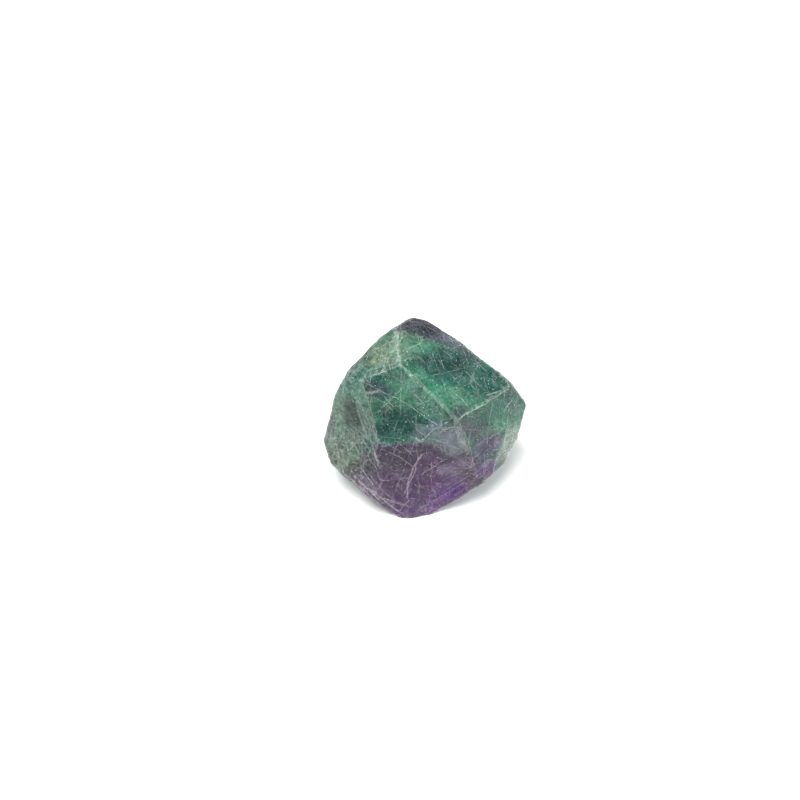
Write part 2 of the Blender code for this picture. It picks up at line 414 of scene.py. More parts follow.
@dataclass(frozen=True)
class Cleavage:
    """A family of flat healed cracks inside the crystal, all along one plane direction."""

    name: str
    heading: float
    pitch: float
    spacing_mm: float
    line_mm: float
    strength: float
    # How much lighter or darker each slab between the cracks is made, as painted reflections of the planes
    painted_reflection: float
    patch_mm: float

    def normal(self) -> Vector:
        """Returns the direction across the family's planes."""
        return direction(self.heading, self.pitch)


@dataclass(frozen=True)
class Lens:
    """A family of flat lenses of one tone along the growth layers, on the sides behind.

    The noise that shapes them starts to show at one level and shows in full at another.
    """

    tone: Tone
    width_mm: float
    thickness_mm: float
    start: float
    full: float
    strength: float


@dataclass(frozen=True)
class Thread:
    """Fine curled cracks: their mesh size, line width, the size of their patches and strength."""

    size_mm: float
    line_mm: float
    patch_mm: float
    strength: float


@dataclass(frozen=True)
class Felt:
    """Fuzz of tiny fractures: size of its curls, width of its lines as noise, and strength."""

    size_mm: float
    line: float
    strength: float


@dataclass(frozen=True)
class PaintedGlint:
    """Painted glints, tiny bright dots: how far apart they are, their radius as a share of that, and
    strength.
    """

    spacing_mm: float
    radius: float
    strength: float


@dataclass(frozen=True)
class Softbox:
    """A square soft light: its place and size in metres, and its power in watts."""

    name: str
    place: tuple[float, float, float]
    size: float
    power: float


# Where a pool's edge starts and where it is full, as shares of its half widths, and the same
# of a crack, as shares of its width
POOL_EDGE = (1.35, 0.45)
CRACK_EDGE = (1.35, 0.35)

# Growth layers: where each tone lies, in millimetres from the heart towards the back
GROWTH_AXIS = (0.0, 0.97, 0.24)
GROWTH_START_MM = -16.0
GROWTH_END_MM = 22.0
GROWTH_LAYERS = (
    (-15.0, Tone.VIOLET),
    (-11.0, Tone.RED_PLUM),
    (-8.6, Tone.PLUM),
    (-6.55, Tone.DARK_PLUM),
    (-6.35, Tone.SLATE),
    (-6.15, Tone.TEAL),
    (-3.6, Tone.DEEP_TEAL),
    (0.5, Tone.MID_GREEN),
    (4.0, Tone.TEAL),
    (8.0, Tone.DEEP_TEAL),
    (10.6, Tone.MID_GREEN),
    (12.6, Tone.GREY_MAUVE),
    (15.5, Tone.PLUM),
    (18.0, Tone.SLATE_PLUM),
)

POOLS = (
    # top and upper right
    Pool("slate cap", (421, 329), 4.2, 1.9, -14.0, Tone.DARK_SLATE, 0.95),
    Pool("mauve band below the cap's rim", (457, 345), 6.4, 1.7, -36.0, Tone.GREY_MAUVE, 0.8),
    Pool("teal field", (482, 382), 4.6, 3.0, -38.0, Tone.TEAL, 0.75, Face.UPPER_RIGHT),
    Pool("deep teal pool", (450, 360), 3.6, 2.6, -30.0, Tone.DEEP_TEAL, 0.95, Face.UPPER_RIGHT),
    Pool("vivid green by the ridge", (434, 394), 5.0, 2.4, -46.0, Tone.VIVID_GREEN, 0.85, Face.UPPER_RIGHT),
    Pool("glow at the ridge's top", (415, 372), 2.4, 1.4, -45.0, Tone.GLOWING_GREEN, 0.4, Face.UPPER_RIGHT),
    Pool("green beside the crown", (413, 345), 3.2, 2.2, -30.0, Tone.PALE_GREEN, 0.6, Face.UPPER_RIGHT),
    Pool("pale green patch", (451, 391), 2.8, 1.2, -10.0, Tone.PALE_GREEN, 0.6, Face.UPPER_RIGHT),
    Pool("greyed right rim", (505, 384), 3.0, 1.2, -40.0, Tone.GREY_GREEN, 0.6),
    Pool("slate notch by the corner", (460, 411), 1.6, 0.8, 28.0, Tone.SLATE_TEAL, 0.6, Face.UPPER_RIGHT),
    # front, above the purple
    Pool("hazy green field", (402, 384), 4.6, 2.4, -38.0, Tone.MID_GREEN, 0.6, Face.FRONT_UPPER),
    Pool("haze along the ridge", (425, 403), 8.4, 1.6, -46.0, Tone.HAZE_GREEN, 0.9, Face.FRONT_UPPER),
    Pool("slate patch", (379, 391), 3.4, 1.8, -24.0, Tone.SLATE, 0.75, Face.FRONT_UPPER),
    Pool("teal window", (397, 420), 4.2, 2.6, 0.0, Tone.DEEP_TEAL, 0.85, Face.FRONT_UPPER),
    Pool("green gleam in the window", (377, 417), 1.2, 1.6, 20.0, Tone.VIVID_GREEN, 0.5, Face.FRONT_UPPER),
    Pool("blue grey above the pane", (428, 429), 3.6, 1.2, 22.0, Tone.BLUE_GREY, 0.9, Face.FRONT_UPPER),
    # top left
    Pool("mint crown", (388, 350), 5.2, 2.8, 42.0, Tone.PALE_MINT, 0.85, Face.TOP_LEFT),
    Pool("mint over the top edge", (405, 348), 1.5, 3.0, 0.0, Tone.PALE_MINT, 0.5),
    Pool("yellowish mint", (376, 356), 2.2, 1.3, 45.0, Tone.YELLOW_MINT, 0.6, Face.TOP_LEFT),
    Pool("grey green shoulder", (359, 368), 2.4, 1.6, 50.0, Tone.GREY_GREEN, 0.7, Face.TOP_LEFT),
    # left
    Pool("frost of the left face", (345, 435), 4.4, 9.0, 8.0, Tone.FROST_GREEN, 0.6),
    Pool("green frost low on the left", (343, 459), 3.6, 2.2, -48.0, Tone.YELLOW_MINT, 0.3),
    Pool("dark core", (353, 415), 1.9, 3.3, 14.0, Tone.DARK_GREEN, 1.0),
    Pool("bright pocket", (364, 446), 1.8, 1.4, 40.0, Tone.DEEP_TEAL, 0.9),
    Pool("mauve far left", (329, 425), 1.2, 3.4, 0.0, Tone.GREY_MAUVE, 0.65),
    Pool("slate low left", (367, 464), 1.9, 2.6, 0.0, Tone.DARK_SLATE, 0.9),
    Pool("slate plum fringe", (368, 489), 5.0, 1.9, -40.0, Tone.SLATE_PLUM, 0.7),
    # front, below the teal
    Pool("dark plum", (392, 460), 3.6, 2.2, 0.0, Tone.DARK_PLUM, 0.85),
    Pool("red plum", (430, 470), 3.0, 3.4, 0.0, Tone.RED_PLUM, 0.85),
    Pool("grey pane", (450, 441), 4.2, 2.8, -38.0, Tone.GREY_PANE, 0.9, Face.FRONT_RIGHT),
    Pool("pale pane by the ridge", (463, 441), 3.8, 1.0, -62.0, Tone.PALE_PANE, 0.7, Face.FRONT_RIGHT),
    Pool("lilac under the pane", (457, 467), 3.6, 1.4, 14.0, Tone.LILAC, 0.6, Face.FRONT_RIGHT),
    Pool("violet foot", (447, 492), 4.4, 2.3, 28.0, Tone.VIOLET, 0.9),
    Pool("magenta gleam", (430, 511), 1.3, 0.5, 22.0, Tone.MAGENTA, 0.7),
    # right
    Pool("slate by the near corner", (470, 428), 2.6, 1.9, 0.0, Tone.SLATE_TEAL, 0.85, Face.LOWER_RIGHT),
    Pool("green window", (489, 413), 3.6, 1.8, 28.0, Tone.TEAL, 0.85, Face.LOWER_RIGHT),
    Pool("slate blue window", (487, 446), 3.6, 1.9, 40.0, Tone.SLATE_BLUE, 0.85, Face.LOWER_RIGHT),
    Pool("lavender gleam", (498, 440), 1.1, 0.8, 40.0, Tone.LAVENDER, 0.6, Face.LOWER_RIGHT),
    Pool("violet ledge", (487, 468), 2.6, 1.2, 30.0, Tone.VIOLET, 0.9),
    Pool("lilac on the violet ledge", (489, 463), 2.0, 0.6, 30.0, Tone.LILAC, 0.6),
    # Painted light: the glow of the thin right rim, laid on as a pale mint patch
    Pool("mint rim", (510, 443), 4.4, 1.5, 65.0, Tone.RIM_MINT, 0.85),
    Pool("green rim", (517, 410), 3.0, 1.3, 100.0, Tone.HAZE_GREEN, 0.8),
)

# The patch of the left face that hardly any cracks cloud
CLEAR_CORE = Pool("clear core", (353, 414), 2.0, 3.4, 14.0, Tone.DARK_GREEN, 0.8)

PALE_CRACKS = (
    Crack("upper right arc", ((480, 362), (471, 378), (471, 385), (478, 393)), 0.09, 0.5),
    Crack("worn edge right of the corner", ((460, 417), (482, 405.5), (508, 389)), 0.12, 0.75),
    Crack("fleck above the edge", ((487, 395), (501, 391)), 0.16, 0.55),
    Crack("branch at the right", ((512, 400), (503.5, 411)), 0.12, 0.5),
    Crack("ridge above the corner", ((401, 366), (425, 387), (457, 423)), 0.10, 0.4),
    Crack("vein from the top", ((400, 327), (403, 336), (397, 347), (401, 366)), 0.10, 0.55),
    Crack("vein across the top face", ((400, 353), (422, 343)), 0.10, 0.5),
    Crack("arc under the cap", ((403, 331), (413, 337.5), (423, 337.5)), 0.10, 0.45),
    Crack("arc left of the ridge", ((363, 380), (369, 370), (396, 364)), 0.09, 0.45),
    Crack("long straight crack", ((367, 384), (404, 402), (437, 425)), 0.09, 0.55),
    Crack("rising crack", ((378, 412), (402, 389)), 0.09, 0.5),
    Crack("falling crack", ((372, 396), (386, 404), (393, 411)), 0.09, 0.45),
    Crack("veil on the left face", ((358, 410), (362, 423), (368, 439)), 0.2, 0.35),
    Crack("left edge", ((364, 389), (372, 412), (378, 440), (375, 458)), 0.11, 0.5),
    Crack("upper front crack", ((382, 449), (400, 457), (414, 467)), 0.09, 0.5),
    Crack("short front crack", ((397, 441), (413, 455)), 0.09, 0.5),
    Crack("white angle", ((416, 438), (420.5, 441.5), (423.5, 438.5)), 0.15, 0.8),
    Crack("lower left crack", ((371, 476), (382, 490), (396, 503)), 0.10, 0.5),
    Crack("top of the pane", ((424, 438), (433, 429.5), (447, 422)), 0.10, 0.65),
    Crack("ridge below the corner", ((458, 421), (468, 441), (477, 476)), 0.12, 0.45),
    Crack("fringe line one", ((343, 473), (364, 491)), 0.11, 0.75),
    Crack("fringe line two", ((355, 477), (379, 500)), 0.13, 0.75),
    Crack("fringe line three", ((368, 488), (400, 513)), 0.12, 0.75),
    Crack("fringe line four", ((361, 468), (373, 485)), 0.10, 0.75),
    Crack("fringe line five", ((384, 499), (408, 506)), 0.11, 0.75),
    Crack("fringe line six", ((351, 471), (370, 497)), 0.09, 0.6),
    Crack("fringe line seven", ((390, 506), (404, 516)), 0.10, 0.6),
    Crack("left web one", ((346, 388), (361, 405), (371, 426)), 0.12, 0.32),
    Crack("left web three", ((355, 392), (359, 414)), 0.10, 0.32),
    Crack("left web four", ((350, 424), (374, 443)), 0.11, 0.45),
)
INNER_CRACKS = (
    Crack("upper dotted line", ((435, 356), (446, 370), (469, 395)), 0.08, 0.5),
    Crack("short upper line", ((468, 358), (460, 368)), 0.08, 0.35),
    Crack("crack over the plum", ((387.5, 475), (374, 494)), 0.09, 0.4),
    Crack("middle of the pane", ((435, 444.5), (471, 467)), 0.08, 0.4),
    Crack("foot of the pane", ((435, 487), (445, 479), (471, 467)), 0.10, 0.45),
    Crack("level crack at the right", ((440, 429), (499, 430)), 0.08, 0.5),
    Crack("violet streak one", ((434, 501), (463, 484)), 0.10, 0.4),
    Crack("violet streak two", ((447, 489), (479, 470)), 0.10, 0.4),
    Crack("violet streak three", ((455, 496), (486, 474)), 0.09, 0.4),
    Crack("ledge streak", ((474, 478), (500, 461)), 0.12, 0.5),
)
ROSE_CRACKS = (
    Crack("rope vein, first strand", ((422, 454), (413, 468), (407, 485), (407.5, 498)), 0.17, 0.7),
    Crack("rope vein, second strand", ((418.5, 457), (414, 474), (404.5, 493)), 0.15, 0.6),
    Crack("rose streak", ((366, 393), (381, 391.5)), 0.24, 0.5),
    Crack("lower rose line", ((409, 500), (398, 512)), 0.14, 0.4),
)

CLEAVAGES = (
    Cleavage("along the front face", 263.5, 33.5, 2.6, 0.045, 0.50, 0.24, 3.6),
    Cleavage("along the top face", 322.5, 57.5, 3.1, 0.050, 0.42, 0.20, 4.3),
    Cleavage("along the right face", 316.5, 10.0, 2.8, 0.045, 0.38, 0.24, 3.9),
    Cleavage("along the left face", 214.0, 22.0, 2.2, 0.045, 0.42, 0.20, 3.2),
    Cleavage("level", 80.0, 70.0, 3.4, 0.040, 0.34, 0.18, 4.8),
)
LENSES = (
    Lens(Tone.HAZE_GREEN, 14.0, 6.0, 0.44, 0.64, 0.6),
    Lens(Tone.VIOLET, 18.0, 3.8, 0.46, 0.64, 0.7),
    Lens(Tone.DEEP_TEAL, 14.0, 3.0, 0.47, 0.62, 0.8),
)
THREADS = (Thread(1.9, 0.035, 4.0, 0.36), Thread(0.9, 0.045, 2.8, 0.25))
FELTS = (Felt(2.4, 0.014, 0.55), Felt(1.1, 0.018, 0.38))
# Painted glints: tiny bright dots of the frosted finish that stand in for sparkle of light on the rough
# surface
PAINTED_GLINTS = (PaintedGlint(0.62, 0.22, 0.85), PaintedGlint(0.36, 0.28, 0.55))

LIGHT_AIM = Vector((0.0, 0.0, 0.01))
SOFTBOXES = (
    Softbox("softbox above", (-0.10, -0.16, 0.52), 0.36, 4.6),
    Softbox("softbox low right", (0.42, 0.12, 0.13), 0.24, 1.3),
)


@dataclass
class StoneMesh:
    """The stone's own fine mesh, worked from the frame's solid."""

    cell_mm: float = 0.232
    weld_mm: float = 0.001
    easing: int = 2
    grain_mm: float = 0.03
    grain_size_mm: float = 0.9
    rubble_mm: float = 0.10
    rubble_size_mm: float = 2.6
    step_mm: float = 0.16
    step_spacing_mm: float = 3.2
    step_bend_mm: float = 7.0
    step_bend: float = 0.3
    chip_mm: float = 0.30
    chip_size_mm: float = 1.1
    face_blend_mm: float = 0.4
    edge_reach_mm: float = 0.12
    edge_rounds: int = 10
    base_clear_mm: float = 0.25
    ray_start_mm: float = 0.05

    def build(self) -> bpy.types.Object:
        """Makes the stone's object.

        Returns:
            The object, on the frame's body and in place of the frame's node.
        """
        stone = self._fine_copy()
        self._work_surface(stone.data)
        stone.data.shade_smooth()
        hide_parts(NODE)
        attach(stone, "root")
        return stone

    def _fine_copy(self) -> bpy.types.Object:
        """Copies the node's mesh into a new object and gives it an even, fine mesh.

        Returns:
            The object.
        """
        stone = bpy.data.objects.new("fluorite_stone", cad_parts[NODE].data.copy())
        bpy.context.scene.collection.objects.link(stone)
        stone.data.materials.clear()
        weld = stone.modifiers.new("weld", "WELD")
        weld.merge_threshold = self.weld_mm * MM
        cells = stone.modifiers.new("cells", "REMESH")
        cells.mode = "VOXEL"
        cells.voxel_size = self.cell_mm * MM
        ease = stone.modifiers.new("ease", "SMOOTH")
        ease.iterations = self.easing
        view = bpy.context.evaluated_depsgraph_get()
        fine = bpy.data.meshes.new_from_object(stone.evaluated_get(view))
        stone.modifiers.clear()
        stone.data = fine
        fine.name = stone.name
        return stone

    def _work_surface(self, mesh: bpy.types.Mesh) -> None:
        """Lays the breakage over the surface, and keeps what the material needs to know of it.

        Args:
            mesh: The stone's fine mesh.
        """
        points, normals = self._read(mesh)
        wear = self._convexity(mesh, points, normals)
        rough = self._roughness(points)
        self._keep(mesh, "wear", wear)
        self._keep(mesh, "rough", rough)
        self._keep(mesh, "facing", normals @ np.array(TOWARDS))
        self._keep(mesh, "thickness", self._thickness(mesh, points, normals))
        places = [Vector(point) for point in points]
        grain = np.array([noise.fractal(place / self.grain_size_mm, 0.8, 2.1, 3) for place in places])
        rubble = np.array([
            noise.ridged_multi_fractal(place / self.rubble_size_mm, 0.9, 2.2, 4, 1.0, 2.0)
            for place in places
        ])
        steps = self._steps(points, places)
        chips = np.array([noise.fractal(place / self.chip_size_mm, 0.6, 2.2, 3) for place in places])
        lift = grain * self.grain_mm * (0.4 + 1.2 * rough)
        lift += (rubble - 1.0) * self.rubble_mm * rough
        lift -= steps * self.step_mm * rough
        lift -= np.clip(chips - 0.05, 0.0, 0.7) * self.chip_mm * np.clip(wear, 0.0, 1.0)
        lift *= np.clip(points[:, 2] / self.base_clear_mm, 0.0, 1.0)
        low, high = (np.array(corner) / MM for corner in CAD_BOX)
        moved = np.clip(points + normals * lift[:, None], low, high)
        mesh.vertices.foreach_set("co", (moved * MM).astype(np.float32).ravel())
        mesh.update()

    @staticmethod
    def _read(mesh: bpy.types.Mesh) -> tuple[np.ndarray, np.ndarray]:
        """Reads a mesh.

        Args:
            mesh: The mesh.

        Returns:
            Its vertices in millimetres, and their normals.
        """
        points = np.empty(len(mesh.vertices) * 3, np.float32)
        normals = np.empty_like(points)
        mesh.vertices.foreach_get("co", points)
        mesh.vertex_normals.foreach_get("vector", normals)
        return points.reshape(-1, 3).astype(float) / MM, normals.reshape(-1, 3).astype(float)

    def _roughness(self, points: np.ndarray) -> np.ndarray:
        """Finds how rough the broken face is that each vertex lies on, blended at the edges.

        Args:
            points: The vertices in millimetres.

        Returns:
            Roughness from 0 to 1, one a vertex.
        """
        weights, total = np.zeros(len(points)), np.zeros(len(points))
        for face in Face:
            gap = np.abs(face.plane() - points @ np.array(face.normal()))
            nearness = np.exp(-gap / self.face_blend_mm) + LEAST_WEIGHT
            weights += nearness
            total += nearness * face.value[3]
        return total / weights

    def _steps(self, points: np.ndarray, places: list[Vector]) -> np.ndarray:
        """Works out the cleavage steps.

        Args:
            points: The vertices in millimetres.
            places: The same as vectors.

        Returns:
            A slope from 0 to 1 between sharp steps, one a vertex.
        """
        across = points @ np.array(Face.UPPER_RIGHT.normal()) / self.step_spacing_mm
        stir = np.array([noise.fractal(place / self.step_bend_mm, 0.8, 2.0, 3) for place in places])
        along = across + self.step_bend * stir
        return along - np.floor(along)

    def _convexity(self, mesh: bpy.types.Mesh, points: np.ndarray, normals: np.ndarray) -> np.ndarray:
        """Finds how far each vertex stands out from its smoothed surroundings.

        Args:
            mesh: The stone's fine mesh.
            points: Its vertices in millimetres.
            normals: Their normals.

        Returns:
            About 1 on an edge and 0 on a flat face, one a vertex.
        """
        ends = np.empty(len(mesh.edges) * 2, np.int32)
        mesh.edges.foreach_get("vertices", ends)
        first, second = ends.reshape(-1, 2).T
        degree = np.bincount(np.concatenate((first, second)), minlength=len(points)).astype(float)
        smooth = points.copy()
        for _ in range(self.edge_rounds):
            total = np.zeros_like(smooth)
            for axis in range(3):
                total[:, axis] += np.bincount(first, smooth[second, axis], len(points))
                total[:, axis] += np.bincount(second, smooth[first, axis], len(points))
            smooth = total / degree[:, None]
        return ((points - smooth) * normals).sum(axis=1) / self.edge_reach_mm

    def _thickness(self, mesh: bpy.types.Mesh, points: np.ndarray, normals: np.ndarray) -> np.ndarray:
        """Measures how much crystal lies straight below each vertex.

        Args:
            mesh: The stone's fine mesh.
            points: Its vertices in millimetres.
            normals: Their normals.

        Returns:
            Millimetres, one a vertex.
        """
        tree = BVHTree.FromPolygons(
            [tuple(point) for point in points], [tuple(face.vertices) for face in mesh.polygons]
        )
        reach = np.empty(len(points))
        for index, (point, normal) in enumerate(zip(points, normals)):
            inward = -Vector(normal)
            hit = tree.ray_cast(Vector(point) + inward * self.ray_start_mm, inward)
            reach[index] = hit[3] if hit[3] is not None else 0.0
        return reach

    @staticmethod
    def _keep(mesh: bpy.types.Mesh, name: str, numbers: np.ndarray) -> None:
        """Keeps one number a vertex on the mesh, for the material to read."""
        kept = mesh.attributes.new(name, "FLOAT", "POINT")
        kept.data.foreach_set("value", numbers.astype(np.float32))


@dataclass(frozen=True)
class CrystalFinish:
    """Fluorite: zoned see-through crystal with satin broken faces and pale healed cracks."""

    ior: float = 1.434
    transmission: float = 0.70
    gloss: float = 0.45
    frost_roughness: float = 0.6
    frost_clearness: float = 0.35
    absorption: Colour = (0.55, 0.80, 0.72)
    density: float = 50.0
    face_edge_mm: tuple[float, float] = (0.5, 0.12)
    bump_mm: float = 1.0
    milk_share: float = 0.22
    upper_milk: float = 0.25
    brightness: float = 1.23
    least_brightness: float = 0.2

    def build(self) -> bpy.types.Material:
        """Builds the material.

        Returns:
            The finished material.
        """
        graph = Graph("fluorite crystal")
        place = graph.vector(
            "SCALE", graph.node("ShaderNodeTexCoord", {}, {}).outputs["Object"], factor=1.0 / MM
        )
        front = graph.attribute("facing").rise(0.0, 0.15)
        rough = graph.attribute("rough")
        picture = self._picture_place(graph, place)
        stirred = graph.stirred(place, 3.0, 0.22, 3.0)

        colour = self._zones(graph, place)
        colour = self._lenses(graph, place, front, colour)
        milk = graph.cloud(place, 1.3, 5.0, 0.75).rise(0.47, 0.70, 0.0, self.milk_share) + rough * 0.03
        colour = graph.blend(milk, colour, Tone.MILK.value, "SCREEN")
        colour = self._pools(graph, place, picture, front, colour)
        inner = self._drawn(graph, picture, INNER_CRACKS) * front
        colour = graph.blend(inner, colour, Tone.PALE_VEIN.value)
        # The cleavage planes give cracks, and painted reflections that make each slab between them lighter
        # or darker
        slab_reflections, web = self._cleavage(graph, stirred, place)
        colour = self._mottled(graph, place, milk, slab_reflections, rough, colour)

        dashes = graph.cloud(place, 0.5, 2.0, 0.6)
        web = web * dashes.rise(0.35, 0.6, 0.35, 0.85)
        web = web.most(self._threads(graph, stirred, place) * (0.65 + rough * 0.75))
        web = web.most(self._felt(graph, stirred) * rough.rise(0.25, 0.75))
        web = web * self._patch(graph, picture, CLEAR_CORE).rise(0.6, 1.3, 1.0 - CLEAR_CORE.strength, 1.0)
        # Painted glints join the pale cracks here
        pale = web.most(self._painted_glints(graph, place))
        pale = pale.most(self._drawn(graph, picture, PALE_CRACKS) * front)
        rose = self._drawn(graph, picture, ROSE_CRACKS) * front
        breaks = graph.cloud(place, 0.7, 4.0, 0.65)
        worn = graph.attribute("wear").rise(0.25, 1.0) * breaks.rise(0.35, 0.65, 0.1, 0.55)
        # Painted light: thin parts of the stone are made paler, as if light shone through them
        rim = graph.attribute("thickness").rise(3.5, 0.3, 0.0, 0.4)

        frost_glint_and_glow_tone = graph.blend(rose, Tone.PALE_VEIN.value, Tone.ROSE_VEIN.value)
        height = graph.cloud(place, 0.55, 4.0, 0.6) * (0.05 + rough * 0.05)
        normal = graph.node(
            "ShaderNodeBump", {}, {"Height": height, "Distance": MM * self.bump_mm, "Strength": 1.0}
        ).outputs[0]
        # Share of the frosted finish: pale and rose cracks, worn edges, the painted glints and the painted
        # glow of thin parts
        frost = pale.most(rose).most(worn).most(rim)
        shine = graph.cloud(place, 1.6, 3.0).rise(0.3, 0.7, 0.13, 0.34) + rough * 0.14
        crystal = graph.node(
            "ShaderNodeBsdfPrincipled",
            {},
            {"Base Color": colour, "Roughness": shine, "IOR": self.ior, "Normal": normal,
             "Transmission Weight": self.transmission, "Specular IOR Level": self.gloss},
        )
        # The frosted finish: healed cracks and worn edges, and also the painted glints and the painted glow
        # of thin parts
        frosted_glint_and_glow = graph.node(
            "ShaderNodeBsdfPrincipled",
            {},
            {"Base Color": graph.blend(self.frost_clearness, frost_glint_and_glow_tone, colour),
             "Roughness": self.frost_roughness, "IOR": self.ior,
             "Normal": normal, "Specular IOR Level": self.gloss},
        )
        mixed = graph.node(
            "ShaderNodeMixShader", {}, {0: frost, 1: crystal.outputs[0], 2: frosted_glint_and_glow.outputs[0]}
        )
        depth = graph.node(
            "ShaderNodeVolumeAbsorption", {}, {"Color": self.absorption, "Density": self.density}
        )
        graph.node(
            "ShaderNodeOutputMaterial", {}, {"Surface": mixed.outputs[0], "Volume": depth.outputs[0]}
        )
        return graph.material

    @staticmethod
    def _picture_place(graph: Graph, place: Socket) -> Socket:
        """Finds where a place is seen in the photograph.

        Args:
            graph: The material's graph.
            place: Place on the stone.

        Returns:
            Millimetres right of and above the near corner.
        """
        from_corner = graph.vector("SUBTRACT", place, tuple(NEAR_CORNER_MM))
        across = graph.vector("DOT_PRODUCT", from_corner, tuple(RIGHT))
        above = graph.vector("DOT_PRODUCT", from_corner, tuple(UP))
        return graph.node("ShaderNodeCombineXYZ", {}, {"X": across, "Y": above}).outputs[0]

    @staticmethod
    def _zones(graph: Graph, place: Socket) -> Socket:
        """Colours the growth zones: flat layers, one behind the other, front to back.

        Args:
            graph: The material's graph.
            place: Place on the stone.

        Returns:
            The zones' colour.
        """
        stirred = graph.stirred(place, 5.0, 0.65, 5.0)
        growth = graph.vector("DOT_PRODUCT", stirred, GROWTH_AXIS)
        span = GROWTH_END_MM - GROWTH_START_MM
        share = (growth - GROWTH_START_MM) * (1.0 / span)
        stops = [((at - GROWTH_START_MM) / span, layer.value) for at, layer in GROWTH_LAYERS]
        return graph.node("ShaderNodeValToRGB", {"stops": stops}, {0: share}).outputs[0]

    @staticmethod
    def _lenses(graph: Graph, place: Socket, front: Value, colour: Socket) -> Socket:
        """Lays flat lenses of other tones, along the growth layers, over the sides behind.

        Args:
            graph: The material's graph.
            place: Place on the stone.
            front: 1 on the sides that the photograph shows.
            colour: The colour so far.

        Returns:
            The colour with the lenses.
        """
        hidden = 1.0 - front
        for lens in LENSES:
            wide, thick = 1.0 / lens.width_mm, 1.0 / lens.thickness_mm
            squashed = graph.vector("MULTIPLY", place, (wide, thick, wide))
            lumps = graph.cloud(squashed, 1.0, 3.0, 0.45)
            share = lumps.rise(lens.start, lens.full, 0.0, lens.strength) * hidden
            colour = graph.blend(share, colour, lens.tone.value)
        return colour

    def _pools(
        self, graph: Graph, place: Socket, picture: Socket, front: Value, colour: Socket
    ) -> Socket:
        """Lays the pools of colour over the growth zones.

        Args:
            graph: The material's graph.
            place: Place on the stone.
            picture: The place as it is seen in the photograph.
            front: 1 on the sides that the photograph shows.
            colour: The colour so far.

        Returns:
            The colour with the pools.
        """
        stirred = graph.stirred(picture, 2.2, 0.45, 4.0)
        on_face = {}
        for face in Face:
            gap = face.plane() - graph.vector("DOT_PRODUCT", place, tuple(face.normal()))
            on_face[face] = gap.rise(*self.face_edge_mm)
        for pool in POOLS:
            share = self._patch(graph, stirred, pool).rise(*POOL_EDGE, 0.0, pool.strength)
            share = share * (on_face[pool.face] if pool.face else front)
            colour = graph.blend(share, colour, pool.tone.value)
        return colour

    @staticmethod
    def _patch(graph: Graph, picture: Socket, pool: Pool) -> Value:
        """Measures how far out a place lies from a pool's middle.

        Args:
            graph: The material's graph.
            picture: The place as it is seen in the photograph.
            pool: The pool.

        Returns:
            0 in its middle and 1 on its outline.
        """
        node = graph.node(
            "ShaderNodeMapping",
            {"vector_type": "TEXTURE"},
            {"Vector": picture, "Location": tuple(picture_mm(pool.pixel)),
             "Rotation": (0.0, 0.0, math.radians(pool.tilt)),
             "Scale": (pool.along_mm, pool.across_mm, 1.0)},
        )
        return graph.vector("LENGTH", node.outputs[0])

    @staticmethod
    def _cleavage(graph: Graph, stirred: Socket, place: Socket) -> tuple[Value, Value]:
        """Builds the flat cracks of the cleavage families.

        Args:
            graph: The material's graph.
            stirred: Place on the stone, slightly pushed about.
            place: Place on the stone.

        Returns:
            The painted reflections of the cleavage planes, which make each slab between cracks lighter or
            darker, around 0, and how much the cracks show.
        """
        slab_reflections, web = None, None
        for family in CLEAVAGES:
            across = graph.vector(
                "DOT_PRODUCT", stirred, tuple(family.normal() / family.spacing_mm)
            )
            edge = Value(graph, graph.node(
                "ShaderNodeTexVoronoi",
                {"voronoi_dimensions": "1D", "feature": "DISTANCE_TO_EDGE"},
                {"W": across, "Scale": 1.0},
            ).outputs["Distance"])
            slab = Value(graph, graph.node(
                "ShaderNodeTexVoronoi", {"voronoi_dimensions": "1D"}, {"W": across, "Scale": 1.0}
            ).outputs["Color"])
            patch = graph.cloud(place, family.patch_mm, 1.0).rise(0.44, 0.62, 0.0, family.strength)
            line = edge.rise(family.line_mm / family.spacing_mm * 2.0, 0.0) * patch
            painted_reflection = (slab - 0.5) * family.painted_reflection
            slab_reflections = painted_reflection if slab_reflections is None else slab_reflections + painted_reflection
            web = line if web is None else web.most(line)
        return slab_reflections, web

    @staticmethod
    def _threads(graph: Graph, stirred: Socket, place: Socket) -> Value:
        """Draws the fine curled cracks between the flat ones.

        Args:
            graph: The material's graph.
            stirred: Place on the stone, slightly pushed about.
            place: Place on the stone.

        Returns:
            How much they show.
        """
        shown = None
        for thread in THREADS:
            size = thread.size_mm
            edge = Value(graph, graph.node(
                "ShaderNodeTexVoronoi",
                {"feature": "DISTANCE_TO_EDGE"},
                {"Vector": graph.stirred(stirred, size * 0.7, size * 0.10, 2.0), "Scale": 1.0 / size},
            ).outputs["Distance"])
            mask = graph.cloud(place, thread.patch_mm, 2.0, 0.6).rise(0.47, 0.62, 0.0, thread.strength)
            line = edge.rise(thread.line_mm / size * 1.6, 0.0) * mask
            shown = line if shown is None else shown.most(line)
        return shown

    @staticmethod
    def _felt(graph: Graph, stirred: Socket) -> Value:
        """Draws the fuzz of tiny fractures of the rough faces.

        Args:
            graph: The material's graph.
            stirred: Place on the stone, slightly pushed about.

        Returns:
            How much it shows.
        """
        shown = None
        for felt in FELTS:
            ridge = graph.math("ABSOLUTE", graph.cloud(stirred, felt.size_mm, 4.0, 0.62) - 0.5)
            fuzz = ridge.rise(felt.line, 0.0, 0.0, felt.strength)
            shown = fuzz if shown is None else shown.most(fuzz)
        return shown

